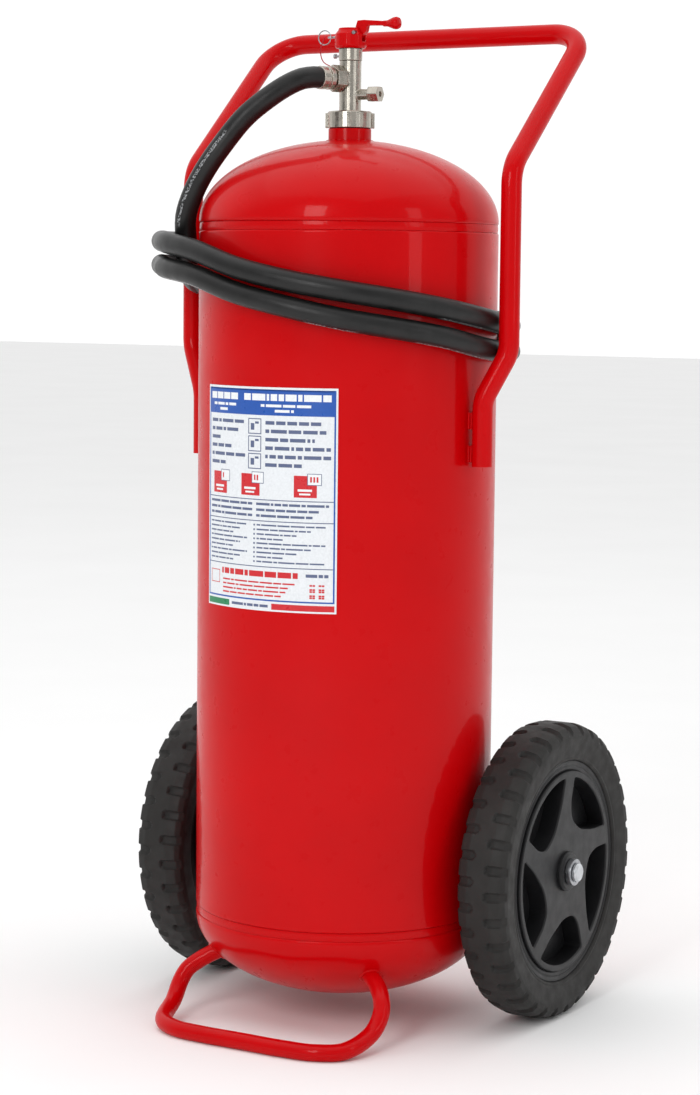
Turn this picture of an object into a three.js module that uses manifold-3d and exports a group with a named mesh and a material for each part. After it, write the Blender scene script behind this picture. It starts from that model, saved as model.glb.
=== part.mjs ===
// Wheeled dry-powder fire extinguisher: a welded steel vessel on two wheels and a foot loop,
// with a tubular push handle, a lever-operated head valve and a wrapped discharge hose.
// Millimetres, +Z up, -Y is the front. The origin is on the floor, under the middle of the whole object.

import * as THREE from 'three';
import { mergeVertices } from 'three/addons/utils/BufferGeometryUtils.js';
import ManifoldModule from 'manifold-3d';

const wasm = await ManifoldModule();
wasm.setup();

// ---- driving dimensions ----

const GAP = 0.3;                     // clearance between pieces that touch
const ROUND = 48;                    // facets round the vessel and the wheels
const FINE = 20;                     // facets round small turned pieces
const AXIS_Y = -24.12;               // vessel axis, behind the foot loop and ahead of the wheels

const VESSEL_R = 200;
const WALL = 3;
const SHELL_BOTTOM = 148;
const SHELL_TOP = 1055;
const SEAM_H = 11;                   // width of each girth weld
const SEAM_R = 199.4;
const TOP_DOME_H = 111;
const BOTTOM_DOME_H = 108;

const NECK_R = 28.6;
const NECK_BORE_R = 24;
const NECK_BOTTOM = 1152;
const NECK_TOP = 1191.7;

const VALVE_R = 14.6;
const VALVE_TOP = 1281;
const OUTLET_Z = 1257;
const OUTLET_ANGLE = -113.4;         // degrees, in plan, of the hose outlet
const PORT_Z = 1236.7;
const GLAND_TOP = 1297;
const HEAD_R = 21;
const HEAD_TOP = 1324;
const PIVOT_X = 13;
const PIVOT_Z = 1317;
const LEVER_W = 8;
const SAFETY_PIN_Z = 1313;

const LEG_X = 246;                   // upper stretch of the push handle's legs
const LEG_Y = -6;
const LEG_LOW_X = 217.5;             // lower stretch, welded to the vessel
const LEG_LOW_Y = -22;
const LEG_BOTTOM = 752;
const LEG_KINK_LOW = 838;
const LEG_KINK_HIGH = 900;
const HANDLE_BEND_Z = 1138;
const GRIP_Y = 208.6;
const GRIP_Z = 1326;
const HANDLE_R = 13.45;
const BEND_R = 50;
const TAB_HEIGHTS = [768, 811];

const FOOT_R = 11.2;
const FOOT_Z = 10.2;                 // a little under the radius, so the loop rests on a worn flat
const FOOT_Y = -254;

const WHEEL_R = 200;
const WHEEL_Y = 114;
const WHEEL_FACE = 288;
const WHEEL_W = 70;
const BEAD_R = 150;
const RIM_W = 54;
const RIM_WELL_R = 132;              // inside of the rim's well, where the spokes end
const HUB_R = 27;
const HUB_LENGTH = 74;
const AXLE_R = 10;
const BUSH_R = 13;
const AXLE_END = 304;
const SPOKES = 5;
const STAR_W = 60;                   // width of the spokes across the wheel
const MEMBRANE_W = 8;                // the web that closes the pockets in the wheel's middle plane
const FIRST_POCKET = THREE.MathUtils.degToRad(139.6);

const HOSE_R = 14.25;
const FERRULE_R = 15.4;
const FERRULE_START = 30.3;          // along the outlet, from the valve axis
const FERRULE_END = 52;

const LABEL = { from: -123.2, to: -62.6, bottom: 565.6, top: 854.2, thick: 0.6 };

const GUN_ANGLE = 112;               // degrees, in plan, of the stowed discharge gun
const GUN_RADIUS = 246;
const GUN_TOP = 866;

// ---- materials ----

function paint(colour, roughness, metalness) {
  return new THREE.MeshStandardMaterial({ color: colour, roughness, metalness });
}

const RED = paint(0xc8000f, 0.25, 0.1);
const NICKEL = paint(0xb8b2a6, 0.32, 1.0);
const ZINC = paint(0xb4b6b8, 0.4, 1.0);
const STEEL = paint(0x8f9194, 0.4, 1.0);
const RUBBER = paint(0x1c1c1d, 0.6, 0.0);
const TYRE = paint(0x32302e, 0.85, 0.0);
const BLACK = paint(0x161617, 0.45, 0.0);
const NYLON = paint(0xd9d6cc, 0.5, 0.0);
const PAPER = paint(0xf0f1f2, 0.4, 0.0);

// ---- helpers ----

const degrees = THREE.MathUtils.degToRad;

// A point given by its angle in plan, its distance from the vessel axis and its height.
function around(angle, radius, z) {
  const a = degrees(angle);
  return new THREE.Vector3(radius * Math.cos(a), radius * Math.sin(a), z);
}

// A vertical turned piece from a closed profile of [radius, height] pairs, anticlockwise.
function turned(profile, segments) {
  const points = profile.map(([r, z]) => new THREE.Vector2(r, z));
  points.push(points[0].clone());
  const geometry = new THREE.LatheGeometry(points, segments);
  geometry.rotateX(Math.PI / 2);
  return geometry;
}

// A solid vertical turned piece: its profile starts and ends on the axis.
function turnedSolid(profile, segments) {
  const geometry = new THREE.LatheGeometry(profile.map(([r, z]) => new THREE.Vector2(r, z)), segments);
  geometry.rotateX(Math.PI / 2);
  return geometry;
}

// A ring of rectangular section.
function ring(inner, outer, bottom, top, segments) {
  return turned([[inner, bottom], [outer, bottom], [outer, top], [inner, top]], segments);
}

function rod(radius, bottom, top, segments) {
  return turnedSolid([[0, bottom], [radius, bottom], [radius, top], [0, top]], segments);
}

function box(x0, x1, y0, y1, z0, z1) {
  const geometry = new THREE.BoxGeometry(x1 - x0, y1 - y0, z1 - z0);
  geometry.translate((x0 + x1) / 2, (y0 + y1) / 2, (z0 + z1) / 2);
  return geometry;
}

// Turns a piece built along +Z so that it points along +X.
function alongX(geometry) {
  geometry.rotateY(Math.PI / 2);
  return geometry;
}

// A path sampled exactly at its own points, so straight stretches need no extra steps.
class RoutePath extends THREE.Curve {
  constructor(points) {
    super();
    this.points = points;
  }

  getPoint(t, target = new THREE.Vector3()) {
    const last = this.points.length - 1;
    const i = Math.min(Math.floor(t * last + 1e-9), last - 1);
    return target.lerpVectors(this.points[i], this.points[i + 1], t * last - i);
  }

  getPointAt(u, target) {
    return this.getPoint(u, target);
  }

  getTangentAt(u, target = new THREE.Vector3()) {
    const last = this.points.length - 1;
    const i = Math.round(u * last);
    const before = this.points[Math.max(i - 1, 0)];
    const here = this.points[i];
    const after = this.points[Math.min(i + 1, last)];
    const arriving = here.clone().sub(before).normalize();
    const leaving = after.clone().sub(here).normalize();
    return target.copy(arriving.add(leaving)).normalize();
  }
}

// Rounds each inner corner of a polyline with an arc of the given radius.
function rounded(corners, radius, steps) {
  const points = [corners[0]];
  for (let i = 1; i < corners.length - 1; i += 1) {
    const back = corners[i - 1].clone().sub(corners[i]).normalize();
    const on = corners[i + 1].clone().sub(corners[i]).normalize();
    const half = back.angleTo(on) / 2;
    const middle = back.clone().add(on).normalize();
    const centre = corners[i].clone().addScaledVector(middle, radius / Math.sin(half));
    const start = corners[i].clone().addScaledVector(back, radius / Math.tan(half)).sub(centre);
    const end = corners[i].clone().addScaledVector(on, radius / Math.tan(half)).sub(centre);
    const sweep = Math.PI - 2 * half;
    for (let k = 0; k <= steps; k += 1) {
      const f = k / steps;
      const a = Math.sin((1 - f) * sweep) / Math.sin(sweep);
      const b = Math.sin(f * sweep) / Math.sin(sweep);
      points.push(centre.clone().addScaledVector(start, a).addScaledVector(end, b));
    }
  }
  points.push(corners[corners.length - 1]);
  return points;
}

// A round bar or hose through a list of points.
function bar(points, radius, sides) {
  const section = new THREE.Shape();
  for (let i = 0; i < sides; i += 1) {
    const a = (2 * Math.PI * i) / sides;
    section.lineTo(radius * Math.cos(a), radius * Math.sin(a));
  }
  return new THREE.ExtrudeGeometry(section, {
    steps: points.length - 1,
    extrudePath: new RoutePath(points),
  });
}

// A smooth list of points through a few chosen ones.
function smooth(points, steps) {
  return new THREE.CatmullRomCurve3(points, false, 'centripetal').getSpacedPoints(steps);
}

function asSolid(geometry) {
  const bare = geometry.clone();
  bare.deleteAttribute('normal');
  bare.deleteAttribute('uv');
  const merged = mergeVertices(bare, 1e-4);
  const triVerts = new Uint32Array(merged.index.array);
  const vertProperties = new Float32Array(merged.attributes.position.array);
  return new wasm.Manifold(new wasm.Mesh({ numProp: 3, vertProperties, triVerts }));
}

function asGeometry(solid) {
  const mesh = solid.getMesh();
  const geometry = new THREE.BufferGeometry();
  geometry.setAttribute('position', new THREE.BufferAttribute(new Float32Array(mesh.vertProperties), 3));
  geometry.setIndex(new THREE.BufferAttribute(new Uint32Array(mesh.triVerts), 1));
  return geometry;
}

// One piece made of joined geometries with others cut away.
function carved(joined, cut) {
  let solid = asSolid(joined[0]);
  for (const geometry of joined.slice(1)) {
    solid = solid.add(asSolid(geometry));
  }
  for (const geometry of cut) {
    solid = solid.subtract(asSolid(geometry));
  }
  return asGeometry(solid);
}

const model = new THREE.Group();
const vessel = new THREE.Group();
vessel.position.y = AXIS_Y;
model.add(vessel);

function piece(name, geometry, material) {
  const flat = geometry.index ? geometry.toNonIndexed() : geometry;
  flat.computeVertexNormals();
  const mesh = new THREE.Mesh(flat, material);
  mesh.name = name;
  vessel.add(mesh);
}

// ---- vessel ----

// Quarter-ellipse profile points from the rim (full radius) towards the axis.
function domeArc(radius, rise, rim, steps, innerRadius) {
  const points = [];
  const last = Math.acos(innerRadius / radius);
  for (let i = 0; i <= steps; i += 1) {
    const a = (last * i) / steps;
    points.push([radius * Math.cos(a), rim + rise * Math.sin(a)]);
  }
  return points;
}

function vesselShell() {
  return ring(VESSEL_R - WALL, VESSEL_R, SHELL_BOTTOM, SHELL_TOP, ROUND);
}

function weldSeam(bottom) {
  return ring(VESSEL_R - WALL, SEAM_R, bottom + GAP, bottom + SEAM_H - GAP, ROUND);
}

function topDome() {
  const rim = SHELL_TOP + SEAM_H;
  const hole = NECK_R + GAP;
  const outer = domeArc(VESSEL_R, TOP_DOME_H, rim, 7, hole);
  const inner = domeArc(VESSEL_R - WALL, TOP_DOME_H - WALL, rim, 4, hole);
  return turned([...outer, ...inner.reverse()], ROUND);
}

function bottomDome() {
  const rim = SHELL_BOTTOM - SEAM_H;
  const outer = domeArc(VESSEL_R, -BOTTOM_DOME_H, rim, 6, 0);
  const inner = domeArc(VESSEL_R - WALL, WALL - BOTTOM_DOME_H, rim, 4, 0);
  return turnedSolid([...outer.reverse(), ...inner], ROUND);
}

// The bottom dome's outline as a solid, a little larger, to trim what is welded to it.
function bottomDomeEnvelope() {
  const rim = SHELL_BOTTOM - SEAM_H;
  const arc = domeArc(VESSEL_R + GAP, -BOTTOM_DOME_H - GAP, rim, 6, 0).reverse();
  return turnedSolid([...arc, [VESSEL_R + GAP, rim + 60], [0, rim + 60]], ROUND);
}

function vesselEnvelope() {
  return rod(VESSEL_R + GAP, SHELL_BOTTOM, SHELL_TOP, ROUND);
}

function addVessel() {
  piece('vessel_shell', vesselShell(), RED);
  piece('upper_weld_seam', weldSeam(SHELL_TOP), RED);
  piece('lower_weld_seam', weldSeam(SHELL_BOTTOM - SEAM_H), RED);
  piece('top_dome', topDome(), RED);
  piece('bottom_dome', bottomDome(), RED);
  piece('neck_collar', ring(NECK_BORE_R, NECK_R, NECK_BOTTOM, NECK_TOP, 24), RED);
  piece('instruction_label', label(), PAPER);
}

// The sheet bonded round the front of the shell.
function label() {
  const inner = VESSEL_R + GAP;
  const outer = inner + LABEL.thick;
  const shape = new THREE.Shape();
  shape.absarc(0, 0, outer, degrees(LABEL.from), degrees(LABEL.to), false);
  shape.absarc(0, 0, inner, degrees(LABEL.to), degrees(LABEL.from), true);
  const sheet = { depth: LABEL.top - LABEL.bottom, bevelEnabled: false, curveSegments: 10 };
  const geometry = new THREE.ExtrudeGeometry(shape, sheet);
  geometry.translate(0, 0, LABEL.bottom);
  return geometry;
}

// ---- head valve ----

function aimedAt(geometry, angle, z) {
  alongX(geometry);
  geometry.rotateZ(degrees(angle));
  geometry.translate(0, 0, z);
  return geometry;
}

const CHAMBER_R = 9;
const CHAMBER_TOP = 1262;
const SPIGOT_R = 23.6;
const FLANGE_BOTTOM = 1194;
const FLANGE_TOP = 1198.5;
const FLANGE_R = 27;
const NUT_TOP = 1214.7;
const NUT_R = 29.5;
const SPINDLE_R = 3;
const RUNNING = 0.07;                // radial clearance of moving pins, at the corners of their facets
const AXLE_RUNNING = 0.1;
const PLUG_BOTTOM = 1222;
const SPINDLE_BOTTOM = 1228;
const SPINDLE_TOP = 1305;

function valveBody() {
  const body = turned([
    [CHAMBER_R, 1170], [SPIGOT_R, 1170], [SPIGOT_R, FLANGE_BOTTOM], [FLANGE_R, FLANGE_BOTTOM],
    [FLANGE_R, FLANGE_TOP], [VALVE_R, FLANGE_TOP], [VALVE_R, VALVE_TOP],
    [SPINDLE_R + RUNNING, VALVE_TOP], [SPINDLE_R + RUNNING, CHAMBER_TOP], [CHAMBER_R, CHAMBER_TOP],
  ], 24);
  const outlet = aimedAt(rod(11, CHAMBER_R + 1, 15.5, FINE), OUTLET_ANGLE, OUTLET_Z);
  const port = aimedAt(rod(7.2, CHAMBER_R + 1, 29.7, FINE), 0, PORT_Z);
  const outletBore = aimedAt(rod(5, 0, 20, 12), OUTLET_ANGLE, OUTLET_Z - 2);
  return carved([body, outlet, port], [outletBore]);
}

function couplingNut() {
  const bore = VALVE_R + GAP + 0.1;
  const cup = FLANGE_R + GAP;
  const body = turned([
    [bore, FLANGE_TOP + GAP], [cup, FLANGE_TOP + GAP], [cup, 1192.6], [NUT_R, 1192.6],
    [NUT_R, NUT_TOP - 1.5], [NUT_R - 1.5, NUT_TOP], [bore, NUT_TOP],
  ], 32);
  const ribs = [];
  for (let i = 0; i < 4; i += 1) {
    const rib = box(27.6, 32.8, -2.2, 2.2, 1192.6, 1212.5);
    rib.rotateZ(degrees(28.5 + 90 * i));
    ribs.push(rib);
  }
  return carved([body, ...ribs], []);
}

function portCap() {
  const cap = rod(11, 30, 46, 6);
  const socket = rod(4, 42, 47, 6);
  return aimedAt(carved([cap], [socket]), 0, PORT_Z);
}

function hoseNut() {
  const nut = rod(18, 15.8, 30, 6);
  nut.rotateZ(degrees(30));
  return aimedAt(carved([nut], [rod(6, 15, 31, 16)]), OUTLET_ANGLE, OUTLET_Z);
}

function hoseFerrule() {
  const start = FERRULE_START;
  const end = FERRULE_END;
  const sleeve = turned([
    [6, start], [12.6, start], [FERRULE_R, start + 2], [FERRULE_R, start + 8], [13, start + 9],
    [13, start + 11], [FERRULE_R, start + 12], [FERRULE_R, end - 1], [13, end], [6, end],
  ], FINE);
  return aimedAt(sleeve, OUTLET_ANGLE, OUTLET_Z);
}

const HEAD_BOTTOM = GLAND_TOP + GAP;
const SLOT_FLOOR = 1306;

// The red cast cap that carries the lever: a round boss with a slot across its top.
function leverHead() {
  const boss = turnedSolid([
    [0, HEAD_BOTTOM], [HEAD_R - 2, HEAD_BOTTOM], [HEAD_R, HEAD_BOTTOM + 3], [HEAD_R, HEAD_TOP - 8],
    [HEAD_R - 4, HEAD_TOP - 3], [HEAD_R - 5, HEAD_TOP], [0, HEAD_TOP],
  ], 24);
  const slotHalf = LEVER_W / 2 + 0.5;
  const slot = box(-6, HEAD_R + 5, -slotHalf, slotHalf, SLOT_FLOOR, HEAD_TOP + 5);
  const spindleHole = rod(SPINDLE_R + RUNNING, HEAD_BOTTOM - 5, SLOT_FLOOR + 1, 24);
  const pivotHole = rod(2.5 + GAP, -HEAD_R - 5, HEAD_R + 5, 16);
  pivotHole.rotateX(Math.PI / 2);
  pivotHole.translate(PIVOT_X, 0, PIVOT_Z);
  const pinHole = rod(1.5 + RUNNING, -HEAD_R - 5, 0, 12);
  alongX(pinHole);
  pinHole.translate(0, 0, SAFETY_PIN_Z);
  return carved([boss], [slot, spindleHole, pivotHole, pinHole]);
}

function pivotPin() {
  const pin = rod(2.5, -15.5, 15.5, 16);
  pin.rotateX(Math.PI / 2);
  pin.translate(PIVOT_X, 0, PIVOT_Z);
  return pin;
}

// The cranked lever: a hub on the pivot, a riser, a flat arm and a flared round knob.
function lever() {
  const side = new THREE.Shape();
  side.moveTo(PIVOT_X - 6.5, PIVOT_Z + 1);
  side.absarc(PIVOT_X, PIVOT_Z, 6.5, Math.PI, 1.75 * Math.PI, false);
  side.lineTo(PIVOT_X + 12.5, PIVOT_Z + 2);
  side.lineTo(PIVOT_X + 14, PIVOT_Z + 9.5);
  side.lineTo(56, PIVOT_Z + 8.5);
  side.lineTo(56, PIVOT_Z + 14);
  side.lineTo(PIVOT_X + 9, PIVOT_Z + 17);
  side.lineTo(PIVOT_X - 1, PIVOT_Z + 16.5);
  const arm = new THREE.ExtrudeGeometry(side, { depth: LEVER_W, bevelEnabled: false, curveSegments: 10 });
  arm.rotateX(Math.PI / 2);
  arm.translate(0, LEVER_W / 2, 0);
  const knob = turnedSolid([[0, 50], [4, 50], [4.2, 56], [8, 66], [8.4, 70], [7, 73.5], [0, 74.5]], 20);
  alongX(knob);
  knob.translate(0, 0, PIVOT_Z + 11.2);
  const bore = rod(2.5 + RUNNING, -10, 10, 16);
  bore.rotateX(Math.PI / 2);
  bore.translate(PIVOT_X, 0, PIVOT_Z);
  return carved([arm, knob], [bore]);
}

// The safety pin: a shaft into the head with a flattened, drilled end for its pull ring.
function safetyPin() {
  const shaft = rod(1.5, -30, -6.5, 12);
  alongX(shaft);
  const eye = rod(4, -1.2, 1.2, 16);
  eye.translate(-31, 0, 0);
  const hole = rod(2, -5, 5, 10);
  hole.translate(-31, 0, 0);
  const pin = carved([shaft, eye], [hole]);
  pin.translate(0, 0, SAFETY_PIN_Z);
  return pin;
}

function pinRing() {
  const wire = new THREE.TorusGeometry(9.5, 0.9, 6, 20);
  wire.rotateX(Math.PI / 2);
  wire.translate(-31 - 9.5, 0, SAFETY_PIN_Z);
  return wire;
}

function glandScrew() {
  return aimedAt(turnedSolid([[0, 15.9], [1.6, 15.9], [1.6, 22], [3.4, 22], [3.4, 25], [0, 25]], 12), 180, 1288);
}

// The thin seal cord, looped from the safety pin's eye round to the hose nut.
function sealCord() {
  const loop = smooth([
    new THREE.Vector3(-36, -6.5, SAFETY_PIN_Z + 1),
    new THREE.Vector3(-42, -8, SAFETY_PIN_Z - 16),
    new THREE.Vector3(-37, -9.5, SAFETY_PIN_Z - 32),
    new THREE.Vector3(-22, -11.5, SAFETY_PIN_Z - 40),
  ], 10);
  return bar(loop, 0.8, 6);
}

function addValve() {
  piece('dip_tube', ring(CHAMBER_R, 11, 62, 1169.7, 24), NYLON);
  piece('neck_gasket', ring(SPIGOT_R + GAP, NECK_R - 1.9, NECK_TOP + GAP, FLANGE_BOTTOM - GAP, 24), BLACK);
  piece('coupling_nut', couplingNut(), NICKEL);
  piece('valve_body', valveBody(), NICKEL);
  piece('valve_plug', rod(7.5, PLUG_BOTTOM, SPINDLE_BOTTOM - GAP, 20), BLACK);
  piece('valve_spindle', rod(SPINDLE_R, SPINDLE_BOTTOM, SPINDLE_TOP, 24), STEEL);
  piece('gland_nut', ring(SPINDLE_R + RUNNING, 15.6, VALVE_TOP + GAP, GLAND_TOP, 24), NICKEL);
  piece('gland_screw', glandScrew(), STEEL);
  piece('side_port_cap', portCap(), NICKEL);
  piece('lever_head', leverHead(), RED);
  piece('lever_pivot_pin', pivotPin(), STEEL);
  piece('valve_lever', lever(), RED);
  piece('safety_pin', safetyPin(), STEEL);
  piece('pin_ring', pinRing(), STEEL);
  piece('seal_cord', sealCord(), RED);
}

// ---- push handle ----

function handlePoints() {
  const half = [
    new THREE.Vector3(LEG_LOW_X, LEG_LOW_Y, LEG_BOTTOM),
    new THREE.Vector3(LEG_LOW_X, LEG_LOW_Y, LEG_KINK_LOW),
    new THREE.Vector3(LEG_X, LEG_Y, LEG_KINK_HIGH),
    new THREE.Vector3(LEG_X, LEG_Y, HANDLE_BEND_Z),
    new THREE.Vector3(LEG_X, GRIP_Y, GRIP_Z),
  ];
  const other = half.map((p) => new THREE.Vector3(-p.x, p.y, p.z)).reverse();
  return rounded([...half, ...other], BEND_R, 4);
}

function weldTab(side, z) {
  const angle = Math.atan2(LEG_LOW_Y, side * LEG_LOW_X);
  const tab = box(VESSEL_R - 4, LEG_LOW_X - 4, -4, 4, z - 10, z + 10);
  tab.rotateZ(angle);
  const leg = rod(HANDLE_R + GAP, z - 20, z + 20, 24);
  leg.translate(side * LEG_LOW_X, LEG_LOW_Y, 0);
  return carved([tab], [vesselEnvelope(), leg]);
}

function addHandle() {
  piece('push_handle', bar(handlePoints(), HANDLE_R, 10), RED);
  for (const [sideName, side] of [['left', -1], ['right', 1]]) {
    piece(`weld_tab_${sideName}_lower`, weldTab(side, TAB_HEIGHTS[0]), RED);
    piece(`weld_tab_${sideName}_upper`, weldTab(side, TAB_HEIGHTS[1]), RED);
  }
}

// ---- foot loop ----

function footLoop() {
  const half = [
    new THREE.Vector3(0, FOOT_Y, FOOT_Z),
    new THREE.Vector3(65, FOOT_Y, FOOT_Z),
    new THREE.Vector3(108, FOOT_Y + 6, FOOT_Z),
    new THREE.Vector3(140, FOOT_Y + 27, FOOT_Z + 2),
    new THREE.Vector3(154, FOOT_Y + 72, FOOT_Z + 17),
    new THREE.Vector3(156, FOOT_Y + 92, FOOT_Z + 39),
    new THREE.Vector3(151, FOOT_Y + 101, FOOT_Z + 53),
    new THREE.Vector3(141, FOOT_Y + 111, FOOT_Z + 63),
    new THREE.Vector3(130, FOOT_Y + 119, FOOT_Z + 71),
    new THREE.Vector3(112, FOOT_Y + 129, FOOT_Z + 81),
  ];
  const other = half.slice(1).map((p) => new THREE.Vector3(-p.x, p.y, p.z)).reverse();
  const loop = bar(smooth([...other, ...half], 36), FOOT_R, 10);
  const floor = box(-300, 300, FOOT_Y - 50, FOOT_Y + 200, -20, 0);
  return carved([loop], [bottomDomeEnvelope(), floor]);
}

// ---- wheels ----

// Everything on a wheel is built along +X from the vessel's middle plane, then mirrored for the left.
function tyre() {
  const inner = WHEEL_FACE - WHEEL_W;
  const outer = WHEEL_FACE;
  return alongX(turned([
    [BEAD_R, inner + 7], [BEAD_R + 32, inner], [WHEEL_R - 5, inner + 5], [WHEEL_R, inner + 16],
    [WHEEL_R, outer - 16], [WHEEL_R - 5, outer - 5], [BEAD_R + 32, outer], [BEAD_R, outer - 7],
  ], ROUND));
}

// The corners of a pocket between two spokes, as distance from the hub and angle from the pocket's middle.
const POCKET = [[126, 29], [92, 31.5], [72, 27], [66, 12], [68, -2], [94, -22], [127, -30]];

// A pocket's outline: straight runs between its inner corners and an arc along the rim.
function pocketOutline(angle) {
  const hole = new THREE.Path();
  POCKET.forEach(([radius, turn], i) => {
    const a = angle + degrees(turn);
    const to = i === 0 ? hole.moveTo : hole.lineTo;
    to.call(hole, radius * Math.cos(a), radius * Math.sin(a));
  });
  const [radius, from] = POCKET[POCKET.length - 1];
  hole.absarc(0, 0, radius, angle + degrees(from), angle + degrees(POCKET[0][1]), false);
  return hole;
}

function rim() {
  const disc = new THREE.Shape();
  disc.absarc(0, 0, RIM_WELL_R + 8, 0, 2 * Math.PI, false);
  for (let i = 0; i < SPOKES; i += 1) {
    disc.holes.push(pocketOutline(FIRST_POCKET + (2 * Math.PI * i) / SPOKES));
  }
  const middle = WHEEL_FACE - WHEEL_W / 2;
  const star = { depth: STAR_W, bevelEnabled: false, curveSegments: 5 };
  const web = new THREE.ExtrudeGeometry(disc, star);
  web.translate(0, 0, middle - STAR_W / 2);
  const membrane = rod(RIM_WELL_R + 6, middle - MEMBRANE_W / 2, middle + MEMBRANE_W / 2, 24);
  const well = ring(RIM_WELL_R, BEAD_R - GAP, middle - RIM_W / 2, middle + RIM_W / 2, ROUND);
  const hub = rod(HUB_R, middle - HUB_LENGTH / 2, middle + HUB_LENGTH / 2, 24);
  const bore = rod(BUSH_R + GAP, middle - HUB_LENGTH, middle + HUB_LENGTH, 24);
  return alongX(carved([web, membrane, well, hub], [bore]));
}

const HUB_INNER = WHEEL_FACE - WHEEL_W / 2 - HUB_LENGTH / 2;
const HUB_OUTER = HUB_INNER + HUB_LENGTH;
const BRACKET_END = HUB_INNER - 6;

// The welded box that holds a stub axle off the side of the vessel.
function axleBracket() {
  const block = box(140, BRACKET_END, WHEEL_Y - 24, WHEEL_Y + 24, WHEEL_R - 30, WHEEL_R + 30);
  const hole = alongX(rod(AXLE_R + GAP, 150, BRACKET_END + 10, 24));
  hole.translate(0, WHEEL_Y, WHEEL_R);
  return carved([block], [vesselEnvelope(), hole]);
}

function onAxle(geometry) {
  alongX(geometry);
  geometry.translate(0, WHEEL_Y, WHEEL_R);
  return geometry;
}

function addWheel(sideName, mirrored) {
  const place = (name, geometry, material) => {
    piece(`${name}_${sideName}`, mirrored ? mirroredInX(geometry) : geometry, material);
  };
  const washerGap = 0.4;
  place('axle_bracket', axleBracket(), RED);
  place('stub_axle', onAxle(rod(AXLE_R, 175, AXLE_END - 6, 24)), ZINC);
  place('inner_washer', onAxle(ring(AXLE_R + GAP, 18, BRACKET_END + GAP, HUB_INNER - washerGap, FINE)), ZINC);
  place('hub_bush', onAxle(ring(AXLE_R + AXLE_RUNNING, BUSH_R, HUB_INNER, HUB_OUTER, 24)), NYLON);
  place('outer_washer', onAxle(ring(AXLE_R + GAP, 18, HUB_OUTER + washerGap, AXLE_END - 6.3, FINE)), ZINC);
  place('axle_cap', onAxle(turnedSolid([
    [0, AXLE_END - 5.7], [13, AXLE_END - 5.7], [13, AXLE_END - 2], [10.5, AXLE_END], [0, AXLE_END],
  ], FINE)), ZINC);
  const wheelCentre = (geometry) => geometry.translate(0, WHEEL_Y, WHEEL_R);
  place('wheel_rim', wheelCentre(rim()), BLACK);
  place('tyre', wheelCentre(tyre()), TYRE);
}

// The left-hand twin of a right-hand piece, with its triangles reversed to keep facing out.
function mirroredInX(geometry) {
  const twin = geometry.index ? geometry.toNonIndexed() : geometry;
  twin.scale(-1, 1, 1);
  const position = twin.attributes.position;
  const second = new THREE.Vector3();
  const third = new THREE.Vector3();
  for (let i = 0; i < position.count; i += 3) {
    second.fromBufferAttribute(position, i + 1);
    third.fromBufferAttribute(position, i + 2);
    position.setXYZ(i + 1, third.x, third.y, third.z);
    position.setXYZ(i + 2, second.x, second.y, second.z);
  }
  return twin;
}

// ---- hose and discharge gun ----

// Angle in plan, distance from the vessel axis and height of each point that the hose passes:
// over the shoulder, down behind both front turns, round the back inside the left leg, twice round
// the front inside the right leg and outside the left one, and down the back to the gun.
const HOSE_ROUTE = [
  [-113.4, 60, 1257], [-114.5, 78, 1254], [-119, 98, 1244], [-123.5, 123, 1226], [-128, 148, 1203],
  [-132.5, 174, 1168], [-136.5, 194, 1136], [-139.5, 208.5, 1106], [-142, 218, 1074], [-145.5, 217, 1040],
  [-152, 217, 1012], [-162, 217, 992], [-175, 217, 982], [-195, 216.9, 975],
  [-220, 216.9, 964], [-245, 216.9, 950], [-270, 216.9, 934], [-300, 216.9, 914], [-330, 216.9, 900],
  [-352, 216.9, 900.5], [-366, 216.9, 906], [-386, 216.9, 921], [-404, 217, 932], [-422, 217, 943],
  [-440, 217, 957], [-460, 219.5, 974], [-480, 229, 996], [-498, 243.5, 1005], [-512, 248, 1008],
  [-522, 260, 1010], [-531, 273, 1010], [-540, 279, 1010], [-550, 273, 1008], [-560, 258, 1004],
  [-574, 235, 997], [-592, 221, 987],
  [-612, 216.9, 975], [-638, 216.9, 958], [-664, 216.9, 940], [-690, 216.9, 933],
  [-712, 216.9, 937], [-726, 216.9, 944], [-746, 216.9, 957], [-764, 217, 968], [-782, 217, 978.5],
  [-800, 217, 990], [-820, 219.5, 1006], [-840, 229, 1028], [-858, 243.5, 1038], [-872, 248, 1041],
  [-882, 260, 1042], [-891, 273, 1042], [-900, 279, 1042], [-910, 274, 1041], [-920, 262, 1037],
  [-930, 252.5, 1030], [-941, 246.5, 1017],
  [-952, 246, 990], [-960, 246, 958], [-965.5, 246, 920], [-967.5, 246, 895], [-968, 246, 876],
];
const HOSE_STEPS = 76;

function hose() {
  const chosen = HOSE_ROUTE.map(([angle, radius, z]) => around(angle, radius, z));
  const start = around(OUTLET_ANGLE, FERRULE_END + GAP, OUTLET_Z);
  const end = around(GUN_ANGLE, GUN_RADIUS, GUN_TOP + GAP);
  return bar([start, ...smooth(chosen, HOSE_STEPS), end], HOSE_R, 8);
}

// The gun hangs nozzle down; it is built on its own vertical axis with +X pointing away from the vessel.
function gunPart(geometry) {
  geometry.translate(GUN_RADIUS, 0, 0);
  geometry.rotateZ(degrees(GUN_ANGLE));
  return geometry;
}

const GUN_BODY_R = 15;
const GUN_BODY_TOP = GUN_TOP - 34;
const GUN_BODY_BOTTOM = 690;
const TRIGGER_Z = GUN_BODY_TOP - 22;
const TRIGGER_X = 22;

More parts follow.
